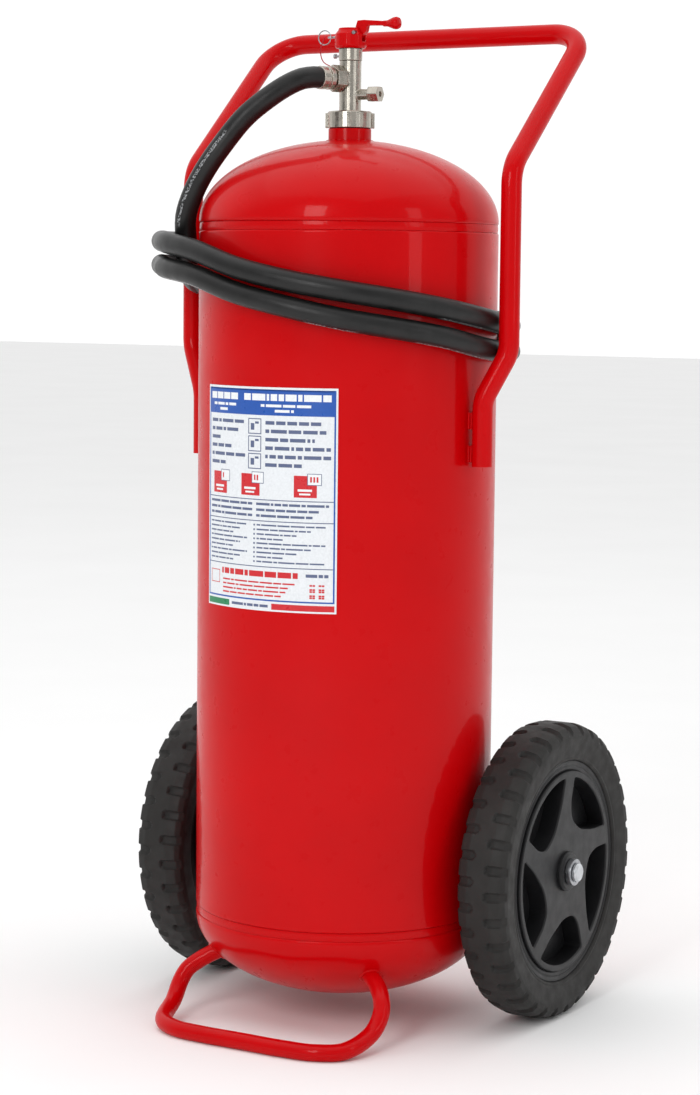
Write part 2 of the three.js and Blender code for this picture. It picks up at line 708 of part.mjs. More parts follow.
function gunBody() {
  const body = turned([
    [6, GUN_BODY_BOTTOM], [13, GUN_BODY_BOTTOM], [GUN_BODY_R, GUN_BODY_BOTTOM + 8],
    [GUN_BODY_R, GUN_BODY_TOP - 6], [12, GUN_BODY_TOP], [6, GUN_BODY_TOP],
  ], FINE);
  const ears = box(10, TRIGGER_X + 6, -9, 9, TRIGGER_Z - 7, TRIGGER_Z + 7);
  const slot = box(16, TRIGGER_X + 10, -5.4, 5.4, TRIGGER_Z - 12, TRIGGER_Z + 12);
  const pinHole = rod(2.5 + GAP, -20, 20, 16);
  pinHole.rotateX(Math.PI / 2);
  pinHole.translate(TRIGGER_X, 0, TRIGGER_Z);
  return gunPart(carved([body, ears], [slot, pinHole]));
}

function gunTriggerPin() {
  const pin = rod(2.5, -9, 9, 16);
  pin.rotateX(Math.PI / 2);
  pin.translate(TRIGGER_X, 0, TRIGGER_Z);
  return gunPart(pin);
}

// The squeeze lever of the gun, hung from its pin along the outside of the body.
function gunTrigger() {
  const side = new THREE.Shape();
  side.moveTo(TRIGGER_X - 5, TRIGGER_Z);
  side.lineTo(TRIGGER_X + 6, TRIGGER_Z - 95);
  side.lineTo(TRIGGER_X + 14, TRIGGER_Z - 108);
  side.lineTo(TRIGGER_X + 18, TRIGGER_Z - 104);
  side.lineTo(TRIGGER_X + 11, TRIGGER_Z - 92);
  side.lineTo(TRIGGER_X + 5, TRIGGER_Z);
  side.absarc(TRIGGER_X, TRIGGER_Z, 5, 0, Math.PI, false);
  const plate = new THREE.ExtrudeGeometry(side, { depth: 10, bevelEnabled: false, curveSegments: 8 });
  plate.rotateX(Math.PI / 2);
  plate.translate(0, 5, 0);
  const bore = rod(2.5 + RUNNING, -10, 10, 16);
  bore.rotateX(Math.PI / 2);
  bore.translate(TRIGGER_X, 0, TRIGGER_Z);
  return gunPart(carved([plate], [bore]));
}

function gunNozzle() {
  const top = GUN_BODY_BOTTOM - GAP;
  return gunPart(turned([
    [5, top - 90], [13, top - 90], [16, top - 84], [9, top - 30], [12, top - 12], [12, top], [5, top],
  ], FINE));
}

function gunFerrule() {
  const top = GUN_TOP;
  return gunPart(turned([
    [6, top - 33.7], [12, top - 33.7], [FERRULE_R, top - 30], [FERRULE_R, top], [6, top],
  ], FINE));
}

// The holder welded to the back of the vessel: a stem and a collar open towards the outside.
function gunHolder() {
  const z = GUN_BODY_BOTTOM + 22;
  const collar = ring(GUN_BODY_R + 0.6, GUN_BODY_R + 4, z - 9, z + 9, FINE);
  const stem = box(VESSEL_R - GUN_RADIUS - 6, -GUN_BODY_R - 1.2, -6, 6, z - 9, z + 9);
  const mouth = box(6, 40, -11, 11, z - 20, z + 20);
  const holder = gunPart(carved([collar, stem], [mouth]));
  return carved([holder], [vesselEnvelope()]);
}

function addHose() {
  piece('hose_swivel_nut', hoseNut(), NICKEL);
  piece('hose_ferrule', hoseFerrule(), NICKEL);
  piece('discharge_hose', hose(), RUBBER);
  piece('gun_ferrule', gunFerrule(), NICKEL);
  piece('gun_body', gunBody(), BLACK);
  piece('gun_trigger_pin', gunTriggerPin(), STEEL);
  piece('gun_trigger', gunTrigger(), BLACK);
  piece('gun_nozzle', gunNozzle(), BLACK);
  piece('gun_holder', gunHolder(), RED);
}

// ---- assembly ----

addVessel();
addValve();
addHandle();
piece('foot_loop', footLoop(), RED);
addWheel('right', false);
addWheel('left', true);
addHose();

export default model;
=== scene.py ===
import math

import bpy
from mathutils import Matrix, Vector


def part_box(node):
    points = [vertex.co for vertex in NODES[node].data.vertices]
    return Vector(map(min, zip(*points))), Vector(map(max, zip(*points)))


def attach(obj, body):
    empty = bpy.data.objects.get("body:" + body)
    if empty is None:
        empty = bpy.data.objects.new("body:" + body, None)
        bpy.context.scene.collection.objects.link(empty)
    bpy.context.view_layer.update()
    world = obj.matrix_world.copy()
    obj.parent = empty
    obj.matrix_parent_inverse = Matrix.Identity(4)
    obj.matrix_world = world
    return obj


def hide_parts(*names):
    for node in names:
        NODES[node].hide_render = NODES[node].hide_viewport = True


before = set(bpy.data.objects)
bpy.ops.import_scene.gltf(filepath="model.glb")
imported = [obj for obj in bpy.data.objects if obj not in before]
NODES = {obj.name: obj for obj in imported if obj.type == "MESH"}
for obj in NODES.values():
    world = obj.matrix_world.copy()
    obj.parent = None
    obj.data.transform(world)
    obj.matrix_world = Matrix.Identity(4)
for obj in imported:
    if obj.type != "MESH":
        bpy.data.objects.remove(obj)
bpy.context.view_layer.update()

MM = 0.001

# The vessel axis and the main sizes, read from the frame. Shapes below are in millimetres round that axis.
SHELL_LOW, SHELL_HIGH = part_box("vessel_shell")
AXIS_Y = (SHELL_LOW[1] + SHELL_HIGH[1]) / 2
VESSEL_R = (SHELL_HIGH[0] - SHELL_LOW[0]) / 2 / MM
SHELL_BOTTOM = SHELL_LOW[2] / MM
SHELL_TOP = SHELL_HIGH[2] / MM
TYRE_LOW, TYRE_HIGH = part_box("tyre_right")
WHEEL_R = (TYRE_HIGH[2] - TYRE_LOW[2]) / 2 / MM
WHEEL_Y = ((TYRE_LOW[1] + TYRE_HIGH[1]) / 2 - AXIS_Y) / MM
WHEEL_MIDDLE = (TYRE_LOW[0] + TYRE_HIGH[0]) / 2 / MM
TYRE_W = (TYRE_HIGH[0] - TYRE_LOW[0]) / MM
RIM_LOW, RIM_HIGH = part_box("wheel_rim_right")
RIM_R = (RIM_HIGH[2] - RIM_LOW[2]) / 2 / MM
LABEL_LOW, LABEL_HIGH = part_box("instruction_label")
NECK_LOW, NECK_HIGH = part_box("neck_collar")


def row(point):
    """A point in millimetres round the vessel axis, in the row frame in metres."""
    return Vector((point[0] * MM, point[1] * MM + AXIS_Y, point[2] * MM))


def around(angle, radius, z):
    a = math.radians(angle)
    return Vector((radius * math.cos(a), radius * math.sin(a), z))


# ---- camera ----

CAMERA_AZIMUTH = math.radians(30.615)
CAMERA_PAN = math.radians(0.09)
CAMERA_DISTANCE = 3617.6
CAMERA_HEIGHT = 991.6
CAMERA_TILT = math.radians(5.679)
CAMERA_ROLL = math.radians(0.572)
FOCAL = 88.4


def make_camera():
    data = bpy.data.cameras.new("camera")
    data.lens = FOCAL
    data.sensor_width = 36
    data.clip_end = 200
    camera = bpy.data.objects.new("camera", data)
    yaw = CAMERA_AZIMUTH - CAMERA_PAN
    forward = Vector((-math.sin(yaw) * math.cos(CAMERA_TILT), math.cos(yaw) * math.cos(CAMERA_TILT),
                      -math.sin(CAMERA_TILT)))
    level = Vector((math.cos(yaw), math.sin(yaw), 0))
    upright = level.cross(forward)
    right = level * math.cos(CAMERA_ROLL) + upright * math.sin(CAMERA_ROLL)
    up = upright * math.cos(CAMERA_ROLL) - level * math.sin(CAMERA_ROLL)
    turn = Matrix((right, up, -forward)).transposed().to_4x4()
    place = row((math.sin(CAMERA_AZIMUTH) * CAMERA_DISTANCE, -math.cos(CAMERA_AZIMUTH) * CAMERA_DISTANCE,
                 CAMERA_HEIGHT))
    camera.matrix_world = Matrix.Translation(place) @ turn
    bpy.context.collection.objects.link(camera)
    bpy.context.scene.camera = camera


make_camera()

# ---- curves through chosen points ----


def centripetal(points, count):
    """Evenly spaced points on the centripetal Catmull-Rom curve through the given ones."""
    first = points[0] * 2 - points[1]
    last = points[-1] * 2 - points[-2]
    ends = [first, *points, last]
    dense = []
    for p0, p1, p2, p3 in zip(ends, ends[1:], ends[2:], ends[3:]):
        t1 = (p1 - p0).length ** 0.5
        t2 = t1 + (p2 - p1).length ** 0.5
        t3 = t2 + (p3 - p2).length ** 0.5
        for i in range(24):
            t = t1 + (t2 - t1) * i / 24
            a1 = p0 * ((t1 - t) / t1) + p1 * (t / t1)
            a2 = p1 * ((t2 - t) / (t2 - t1)) + p2 * ((t - t1) / (t2 - t1))
            a3 = p2 * ((t3 - t) / (t3 - t2)) + p3 * ((t - t2) / (t3 - t2))
            b1 = a1 * ((t2 - t) / t2) + a2 * (t / t2)
            b2 = a2 * ((t3 - t) / (t3 - t1)) + a3 * ((t - t1) / (t3 - t1))
            dense.append(b1 * ((t2 - t) / (t2 - t1)) + b2 * ((t - t1) / (t2 - t1)))
    dense.append(points[-1].copy())
    return evenly(dense, count)


def evenly(points, count):
    runs = [0.0]
    for a, b in zip(points, points[1:]):
        runs.append(runs[-1] + (b - a).length)
    result = []
    i = 0
    for k in range(count + 1):
        want = runs[-1] * k / count
        while i < len(points) - 2 and runs[i + 1] < want:
            i += 1
        step = max(runs[i + 1] - runs[i], 1e-9)
        result.append(points[i].lerp(points[i + 1], min((want - runs[i]) / step, 1)))
    return result


def rounded(corners, radius, steps):
    """A polyline with each inner corner turned into an arc."""
    points = [corners[0]]
    for before, corner, after in zip(corners, corners[1:], corners[2:]):
        back = (before - corner).normalized()
        on = (after - corner).normalized()
        half = back.angle(on) / 2
        centre = corner + (back + on).normalized() * (radius / math.sin(half))
        start = corner + back * (radius / math.tan(half)) - centre
        end = corner + on * (radius / math.tan(half)) - centre
        sweep = math.pi - 2 * half
        for k in range(steps + 1):
            f = k / steps
            near = start * (math.sin((1 - f) * sweep) / math.sin(sweep))
            points.append(centre + near + end * (math.sin(f * sweep) / math.sin(sweep)))
    points.append(corners[-1])
    return points


# ---- materials ----


def new_material(name):
    material = bpy.data.materials.new(name)
    material.use_nodes = True
    nodes = material.node_tree.nodes
    links = material.node_tree.links
    return material, nodes, links, nodes["Principled BSDF"]


def noise(nodes, links, scale, detail=4.0, roughness=0.55, coords=None):
    texture = nodes.new("ShaderNodeTexNoise")
    texture.inputs["Scale"].default_value = scale
    texture.inputs["Detail"].default_value = detail
    texture.inputs["Roughness"].default_value = roughness
    if coords is None:
        coords = nodes.new("ShaderNodeTexCoord").outputs["Object"]
    links.new(coords, texture.inputs["Vector"])
    return texture.outputs["Fac"]


def ramp(nodes, links, value, stops):
    node = nodes.new("ShaderNodeValToRGB")
    elements = node.color_ramp.elements
    for element, (place, colour) in zip(elements, (stops[0], stops[-1])):
        element.position = place
        element.color = (*colour, 1)
    for place, colour in stops[1:-1]:
        element = elements.new(place)
        element.color = (*colour, 1)
    links.new(value, node.inputs["Fac"])
    return node.outputs["Color"]


def bump(nodes, links, bsdf, heights):
    """Chains bumps given as (height, strength, distance in metres)."""
    normal = None
    for height, strength, distance in heights:
        node = nodes.new("ShaderNodeBump")
        node.inputs["Strength"].default_value = strength
        node.inputs["Distance"].default_value = distance
        links.new(height, node.inputs["Height"])
        if normal is not None:
            links.new(normal, node.inputs["Normal"])
        normal = node.outputs["Normal"]
    links.new(normal, bsdf.inputs["Normal"])


def spread(colour, amount):
    darker = tuple(c * (1 - amount) for c in colour)
    lighter = tuple(min(c * (1 + amount), 1) for c in colour)
    return darker, lighter


def scalar_ramp(nodes, links, value, low, high, start=0.3, end=0.7):
    return ramp(nodes, links, value, [(start, (low,) * 3), (end, (high,) * 3)])


def gloss_paint():
    """Baked red enamel: an even colour with faint mottling, orange peel and a clear, hard gloss."""
    material, nodes, links, bsdf = new_material("red_enamel")
    darker, lighter = spread((0.56, 0.0004, 0.002), 0.05)
    links.new(ramp(nodes, links, noise(nodes, links, 6.0), [(0.3, darker), (0.7, lighter)]),
              bsdf.inputs["Base Color"])
    links.new(scalar_ramp(nodes, links, noise(nodes, links, 40.0), 0.26, 0.36), bsdf.inputs["Roughness"])
    bsdf.inputs["Specular IOR Level"].default_value = 0.05
    bsdf.inputs["Coat Weight"].default_value = 0.3
    bsdf.inputs["Coat IOR"].default_value = 1.35
    bsdf.inputs["Coat Roughness"].default_value = 0.05
    peel = noise(nodes, links, 420.0, 2.0)
    waves = noise(nodes, links, 14.0, 1.0)
    bump(nodes, links, bsdf, [(waves, 0.25, 0.002), (peel, 0.06, 0.0004)])
    return material


def metal(name, colour, rough, streak, grain=700.0, strength=0.1):
    """Plated or turned metal with uneven roughness, fine tool marks and slight staining."""
    material, nodes, links, bsdf = new_material(name)
    bsdf.inputs["Metallic"].default_value = 1.0
    darker, lighter = spread(colour, streak)
    links.new(ramp(nodes, links, noise(nodes, links, 90.0, 5.0), [(0.3, darker), (0.72, lighter)]),
              bsdf.inputs["Base Color"])
    links.new(scalar_ramp(nodes, links, noise(nodes, links, 160.0), rough * 0.75, rough * 1.35),
              bsdf.inputs["Roughness"])
    bump(nodes, links, bsdf, [(noise(nodes, links, 120.0, 3.0), strength, 0.0004),
                              (noise(nodes, links, grain, 2.0), strength * 0.6, 0.0001)])
    return material


def polymer(name, colour, rough, variation=0.12, grain=900.0, depth=0.0002, scale=25.0, dust=0.0):
    """Moulded plastic or rubber: fine grain, patchy sheen and, where dust is given, a little pale dust in
    random patches.
    """
    material, nodes, links, bsdf = new_material(name)
    darker, lighter = spread(colour, variation)
    patches = noise(nodes, links, scale, 6.0, 0.65)
    stops = [(0.3, darker), (0.62, lighter)]
    if dust:
        stops.append((0.8, tuple(c + dust for c in lighter)))
    links.new(ramp(nodes, links, patches, stops), bsdf.inputs["Base Color"])
    links.new(scalar_ramp(nodes, links, noise(nodes, links, 60.0), rough * 0.85, min(rough * 1.2, 1)),
              bsdf.inputs["Roughness"])
    bsdf.inputs["Specular IOR Level"].default_value = 0.3
    bump(nodes, links, bsdf, [(noise(nodes, links, grain, 3.0), 0.35, depth)])
    return material


def hose_rubber():
    """Cloth-wrapped black rubber with a soft sheen and a broken line of pale printing along one side."""
    material, nodes, links, bsdf = new_material("hose_rubber")
    uv = nodes.new("ShaderNodeUVMap")
    uv.uv_map = "along"
    stretch = nodes.new("ShaderNodeMapping")
    stretch.inputs["Scale"].default_value = (60.0, 4.0, 1.0)
    links.new(uv.outputs["UV"], stretch.inputs["Vector"])
    base = ramp(nodes, links, noise(nodes, links, 30.0, 5.0), [(0.3, (0.005,) * 3), (0.7, (0.012,) * 3)])

    split = nodes.new("ShaderNodeSeparateXYZ")
    links.new(uv.outputs["UV"], split.inputs["Vector"])
    band = band_mask(nodes, links, split.outputs["Y"], 0.5, 0.026)
    dashes = noise(nodes, links, 7.0, 2.0, 0.8, stretch.outputs["Vector"])
    letters = scalar_ramp(nodes, links, dashes, 0.0, 1.0, 0.49, 0.53)
    groups_map = nodes.new("ShaderNodeMapping")
    groups_map.inputs["Scale"].default_value = (7.0, 0.0, 1.0)
    links.new(uv.outputs["UV"], groups_map.inputs["Vector"])
    groups = scalar_ramp(nodes, links, noise(nodes, links, 1.0, 0.0, 0.5, groups_map.outputs["Vector"]),
                         0.0, 1.0, 0.5, 0.53)
    mask = multiply(nodes, links, multiply(nodes, links, band, letters), groups)
    mix = nodes.new("ShaderNodeMix")
    mix.data_type = "RGBA"
    links.new(mask, mix.inputs["Factor"])
    links.new(base, mix.inputs["A"])
    mix.inputs["B"].default_value = (0.32, 0.33, 0.34, 1)
    links.new(mix.outputs["Result"], bsdf.inputs["Base Color"])
    links.new(scalar_ramp(nodes, links, noise(nodes, links, 45.0), 0.32, 0.48), bsdf.inputs["Roughness"])
    bsdf.inputs["Specular IOR Level"].default_value = 0.35
    weave = nodes.new("ShaderNodeTexWave")
    weave.inputs["Scale"].default_value = 9.0
    weave.inputs["Distortion"].default_value = 1.5
    links.new(stretch.outputs["Vector"], weave.inputs["Vector"])
    bump(nodes, links, bsdf, [(noise(nodes, links, 110.0, 4.0), 0.3, 0.0006),
                              (weave.outputs["Fac"], 0.12, 0.0002)])
    return material


def band_mask(nodes, links, value, centre, half):
    """1 where value lies within half of centre, else 0."""
    compare = nodes.new("ShaderNodeMath")
    compare.operation = "COMPARE"
    links.new(value, compare.inputs[0])
    compare.inputs[1].default_value = centre
    compare.inputs[2].default_value = half
    return compare.outputs["Value"]


def multiply(nodes, links, a, b):
    node = nodes.new("ShaderNodeMath")
    node.operation = "MULTIPLY"
    links.new(a, node.inputs[0])
    links.new(b, node.inputs[1])
    return node.outputs["Value"]


def print_ink(name, colour, rough=0.35):
    material, nodes, links, bsdf = new_material(name)
    darker, lighter = spread(colour, 0.05)
    links.new(ramp(nodes, links, noise(nodes, links, 350.0), [(0.3, darker), (0.7, lighter)]),
              bsdf.inputs["Base Color"])
    links.new(scalar_ramp(nodes, links, noise(nodes, links, 90.0), rough * 0.85, rough * 1.15),
              bsdf.inputs["Roughness"])
    bump(nodes, links, bsdf, [(noise(nodes, links, 500.0), 0.05, 0.0001)])
    return material


RED = gloss_paint()
NICKEL = metal("nickel_plate", (0.47, 0.44, 0.385), 0.27, 0.12)
ZINC = metal("zinc_plate", (0.6, 0.62, 0.64), 0.38, 0.15)
STEEL = metal("bare_steel", (0.42, 0.43, 0.45), 0.35, 0.2)
TYRE = polymer("tyre_rubber", (0.020, 0.019, 0.018), 0.62, 0.2, 700.0, 0.0003, 12.0, 0.006)
PLASTIC = polymer("rim_plastic", (0.009, 0.009, 0.010), 0.4, 0.15, 800.0, 0.0002, 14.0, 0.003)
GUN_PLASTIC = polymer("gun_plastic", (0.012, 0.012, 0.013), 0.45)
NYLON = polymer("white_nylon", (0.68, 0.66, 0.6), 0.5, 0.04)
SEAL = polymer("gasket_rubber", (0.015, 0.015, 0.016), 0.6)
HOSE = hose_rubber()
CORD_RED = polymer("seal_cord_plastic", (0.45, 0.01, 0.02), 0.4)
PAPER = print_ink("label_sheet", (0.80, 0.83, 0.86), 0.3)
INK_WHITE = print_ink("ink_white", (0.86, 0.88, 0.90), 0.3)
INK_BLUE = print_ink("ink_blue", (0.012, 0.09, 0.42), 0.3)
INK_GREY = print_ink("ink_grey_blue", (0.10, 0.13, 0.24), 0.35)
INK_RED = print_ink("ink_red", (0.62, 0.012, 0.02), 0.3)
INK_GREEN = print_ink("ink_green", (0.005, 0.22, 0.08), 0.3)

# ---- mesh makers ----


def make_mesh(name, points, faces, material, body, slot, sharp=38.0, uvs=None):
    """A smooth-shaded piece from points in millimetres round the vessel axis, riding on a body."""
    mesh = bpy.data.meshes.new(name)
    mesh.from_pydata([tuple(row(p)) for p in points], [], faces)
    mesh.validate()
    mesh.materials.append(material)
    if uvs is not None:
        layer = mesh.uv_layers.new(name="along")
        for loop in mesh.loops:
            layer.data[loop.index].uv = uvs[loop.vertex_index]
    mesh.polygons.foreach_set("use_smooth", [True] * len(mesh.polygons))
    mesh.set_sharp_from_angle(angle=math.radians(sharp))
    piece = bpy.data.objects.new(name, mesh)
    bpy.context.collection.objects.link(piece)
    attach(piece, body)
    return piece


def lathe_mesh(profile, segments, closed, ripple=None):
    """Points and faces of a turned shape; an open profile starts and ends on the axis."""
    points = []
    faces = []
    rows = len(profile)
    for s in range(segments):
        a = 2 * math.pi * s / segments
        for i, (r, z) in enumerate(profile):
            extra = ripple(a, i) if ripple else 0
            points.append(Vector(((r + extra) * math.cos(a), (r + extra) * math.sin(a), z)))
    for s in range(segments):
        t = (s + 1) % segments
        for i in range(rows if closed else rows - 1):
            j = (i + 1) % rows
            quad = (s * rows + i, t * rows + i, t * rows + j, s * rows + j)
            if profile[i][0] < 1e-6:
                quad = (quad[0], quad[2], quad[3])
            elif profile[j][0] < 1e-6:
                quad = (quad[0], quad[1], quad[2])
            faces.append(quad)
    if not closed:
        points, faces = weld_axis(points, faces, rows, segments, profile)
    return points, faces


def weld_axis(points, faces, rows, segments, profile):
    """Makes the axis points of every segment the first segment's."""
    keep = {}
    for i in (0, rows - 1):
        if profile[i][0] < 1e-6:
            for s in range(1, segments):
                keep[s * rows + i] = i
    order = {}
    used = []
    for index, point in enumerate(points):
        if index not in keep:
            order[index] = len(used)
            used.append(point)
    mapped = [tuple(order[keep.get(i, i)] for i in face) for face in faces]
    return used, mapped


def soften(profile, radius, steps=4, closed=True):
    """Rounds every corner of a profile, as turned metal is."""
    corners = [Vector((r, z)) for r, z in profile]
    count = len(corners)
    result = []
    for i, corner in enumerate(corners):
        if not closed and i in (0, count - 1):
            result.append(tuple(corner))
            continue
        before = corners[i - 1] - corner
        after = corners[(i + 1) % count] - corner
        reach = min(radius, before.length * 0.45, after.length * 0.45)
        start = corner + before.normalized() * reach
        end = corner + after.normalized() * reach
        for k in range(steps + 1):
            f = k / steps
            result.append(tuple(start.lerp(corner, f).lerp(corner.lerp(end, f), f)))
    return result


def turned(name, profile, material, body, slot, segments=96, closed=True, ripple=None, sharp=38.0):
    points, faces = lathe_mesh(profile, segments, closed, ripple)
    return make_mesh(name, points, faces, material, body, slot, sharp)


def tube_mesh(path, radius, sides):
    """A capped round tube along a path, with (distance in metres, turn) coordinates."""
    tangents = []
    for i, point in enumerate(path):
        before = path[max(i - 1, 0)]
        after = path[min(i + 1, len(path) - 1)]
        tangents.append((after - before).normalized())
    normal = tangents[0].orthogonal().normalized()
    points = []
    uvs = []
    run = 0.0
    for i, (point, tangent) in enumerate(zip(path, tangents)):
        if i:
            run += (point - path[i - 1]).length * MM
        normal = (normal - tangent * normal.dot(tangent)).normalized()
        side = tangent.cross(normal)
        for k in range(sides):
            a = 2 * math.pi * k / sides
            points.append(point + (normal * math.cos(a) + side * math.sin(a)) * radius)
            uvs.append((run, k / sides))
    faces = []
    for i in range(len(path) - 1):
        for k in range(sides):
            m = (k + 1) % sides
            faces.append((i * sides + k, i * sides + m, (i + 1) * sides + m, (i + 1) * sides + k))
    faces.append(tuple(reversed(range(sides))))
    start = (len(path) - 1) * sides
    faces.append(tuple(range(start, start + sides)))
    return points, faces, uvs


def joined(*parts):
    points = []
    faces = []
    for part_points, part_faces in parts:
        start = len(points)
        points.extend(part_points)
        faces.extend(tuple(i + start for i in face) for face in part_faces)
    return points, faces


def moved(part, matrix):
    return [matrix @ p for p in part[0]], part[1]


def weld_bead(name, path, radius, body):
    """A row of overlapping solidified puddles along a joint."""
    points, faces, _ = tube_mesh(path, radius, 12)
    count = len(path)
    for i in range(count):
        centre = path[i]
        swell = 0.82 + 0.22 * abs(math.sin(i * 1.25))
        for k in range(12):
            index = i * 12 + k
            points[index] = centre + (points[index] - centre) * swell
    return make_mesh(name, points, faces, RED, body, "vessel_paint", 60)


# ---- discharge hose ----

# Angle in plan in degrees, distance from the vessel axis and height in metres, as in the design.
HOSE_ROUTE = [
    (-113.4, 0.060, 1.257), (-114.5, 0.078, 1.254), (-119, 0.098, 1.244), (-123.5, 0.123, 1.226),
    (-128, 0.148, 1.203), (-132.5, 0.174, 1.168), (-136.5, 0.194, 1.136), (-139.5, 0.2085, 1.106),
    (-142, 0.218, 1.074), (-145.5, 0.217, 1.040), (-152, 0.217, 1.012), (-162, 0.217, 0.992),
    (-175, 0.217, 0.982), (-195, 0.2169, 0.975), (-220, 0.2169, 0.964), (-245, 0.2169, 0.950),
    (-270, 0.2169, 0.934), (-300, 0.2169, 0.914), (-330, 0.2169, 0.900), (-352, 0.2169, 0.9005),
    (-366, 0.2169, 0.906), (-386, 0.2169, 0.921), (-404, 0.217, 0.932), (-422, 0.217, 0.943),
    (-440, 0.217, 0.957), (-460, 0.2195, 0.974), (-480, 0.229, 0.996), (-498, 0.2435, 1.005),
    (-512, 0.248, 1.008), (-522, 0.260, 1.010), (-531, 0.273, 1.010), (-540, 0.279, 1.010),
    (-550, 0.273, 1.008), (-560, 0.258, 1.004), (-574, 0.235, 0.997), (-592, 0.221, 0.987),
    (-612, 0.2169, 0.975), (-638, 0.2169, 0.958), (-664, 0.2169, 0.940), (-690, 0.2169, 0.933),
    (-712, 0.2169, 0.937), (-726, 0.2169, 0.944), (-746, 0.2169, 0.957), (-764, 0.217, 0.968),
    (-782, 0.217, 0.9785), (-800, 0.217, 0.990), (-820, 0.2195, 1.006), (-840, 0.229, 1.028),
    (-858, 0.2435, 1.038), (-872, 0.248, 1.041), (-882, 0.260, 1.042), (-891, 0.273, 1.042),
    (-900, 0.279, 1.042), (-910, 0.274, 1.041), (-920, 0.262, 1.037), (-930, 0.2525, 1.030),
    (-941, 0.2465, 1.017), (-952, 0.246, 0.990), (-960, 0.246, 0.958), (-965.5, 0.246, 0.920),
    (-967.5, 0.246, 0.895), (-968, 0.246, 0.876),
]
HOSE_R = 14.25
HOSE_EXIT = 52.3
GUN_ANGLE = 112.0
GUN_RADIUS = 246.0
GUN_FERRULE_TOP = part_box("gun_ferrule")[1][2] / MM


def make_hose():
    chosen = [around(angle, radius / MM, z / MM) for angle, radius, z in HOSE_ROUTE]
    start = around(HOSE_ROUTE[0][0], HOSE_EXIT, chosen[0].z)
    end = around(GUN_ANGLE, GUN_RADIUS, GUN_FERRULE_TOP + 0.3)
    path = [start, *centripetal(chosen, 420), end]
    points, faces, uvs = tube_mesh(path, HOSE_R, 32)
    hose = make_mesh("hose", points, faces, HOSE, "frame", "hose_rubber", 60, uvs)
    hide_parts("discharge_hose")
    length = sum((b - a).length for a, b in zip(path, path[1:])) * MM
    print("hose length", round(length, 3))


make_hose()

# ---- vessel ----

TOP_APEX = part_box("top_dome")[1][2] / MM
TOP_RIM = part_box("top_dome")[0][2] / MM
BOTTOM_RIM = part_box("bottom_dome")[1][2] / MM
BOTTOM_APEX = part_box("bottom_dome")[0][2] / MM
TOP_RISE = 111.0
WALL = 3.0
NECK_R = (NECK_HIGH[0] - NECK_LOW[0]) / 2 / MM
NECK_TOP = NECK_HIGH[2] / MM


def dome_profile(rim, rise, inner_radius, steps, radius):
    last = math.acos(min(inner_radius / radius, 1))
    return [(radius * math.cos(last * i / steps), rim + rise * math.sin(last * i / steps))
            for i in range(steps + 1)]


def make_vessel():
    lip = 1.2
    shell = [(VESSEL_R - WALL, SHELL_BOTTOM), (VESSEL_R - lip, SHELL_BOTTOM),
             (VESSEL_R, SHELL_BOTTOM + 1.6)]
    rows = 24
    straight = SHELL_TOP - SHELL_BOTTOM - 6
    shell += [(VESSEL_R, SHELL_BOTTOM + 3 + straight * i / rows) for i in range(rows + 1)]
    shell += [(VESSEL_R, SHELL_TOP - 1.6), (VESSEL_R - lip, SHELL_TOP), (VESSEL_R - WALL, SHELL_TOP)]
    piece = turned("tank_shell", shell, RED, "frame", "vessel_paint", 256, sharp=60)
    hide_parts("vessel_shell")

    hole = NECK_R + 0.3
    outer = dome_profile(TOP_RIM + 2, TOP_RISE - 2, hole, 40, VESSEL_R)
    inner = dome_profile(TOP_RIM, TOP_RISE - WALL, hole, 24, VESSEL_R - WALL)
    top = [(VESSEL_R - lip, TOP_RIM), *outer, *reversed(inner)]
    piece = turned("tank_top", top, RED, "frame", "vessel_paint", 256, sharp=60)
    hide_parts("top_dome")

    fall = BOTTOM_RIM - BOTTOM_APEX
    outer = dome_profile(BOTTOM_RIM - 2, 2 - fall, 0, 40, VESSEL_R)
    inner = dome_profile(BOTTOM_RIM, WALL - fall, 0, 24, VESSEL_R - WALL)
    outer[-1] = (0, outer[-1][1])
    inner[-1] = (0, inner[-1][1])
    bottom = [*reversed(outer), (VESSEL_R - lip, BOTTOM_RIM), *inner]
    piece = turned("tank_bottom", bottom, RED, "frame", "vessel_paint", 256, closed=False, sharp=60)
    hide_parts("bottom_dome")
    make_seams()


def make_seams():
    """The two girth welds: a shallow band with the faint chevrons of a machine weld."""
    for name, node in (("top_girth_weld", "upper_weld_seam"), ("bottom_girth_weld", "lower_weld_seam")):
        low, high = (corner[2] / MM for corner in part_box(node))
        rows = 10
        profile = []
        for i in range(rows + 1):
            f = i / rows
            crown = 0.55 * math.sin(math.pi * f)
            profile.append((VESSEL_R - 1.3 + crown, low + (high - low) * f))
        profile += [(VESSEL_R - WALL, high), (VESSEL_R - WALL, low)]

        def ripple(a, i):
            return 0.07 * math.sin(a * 190 + i * 0.5) if 1 <= i <= rows - 1 else 0

        piece = turned(name, profile, RED, "frame", "vessel_paint", 720, ripple=ripple, sharp=70)
        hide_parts(node)


def make_neck():
    low = NECK_LOW[2] / MM
    bore = NECK_R - 4.6
    profile = soften([(bore, low), (NECK_R, low), (NECK_R, NECK_TOP), (bore, NECK_TOP)], 1.0)
    piece = turned("neck", profile, RED, "frame", "vessel_paint", 96)
    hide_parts("neck_collar")
    ring = [around(i * 3, NECK_R + 0.8, TOP_APEX - 2.2 + 0.6 * math.sin(i * 0.9)) for i in range(121)]
    weld_bead("neck_weld", ring, 3.0, "frame")


make_vessel()
make_neck()

# ---- push handle and foot loop ----

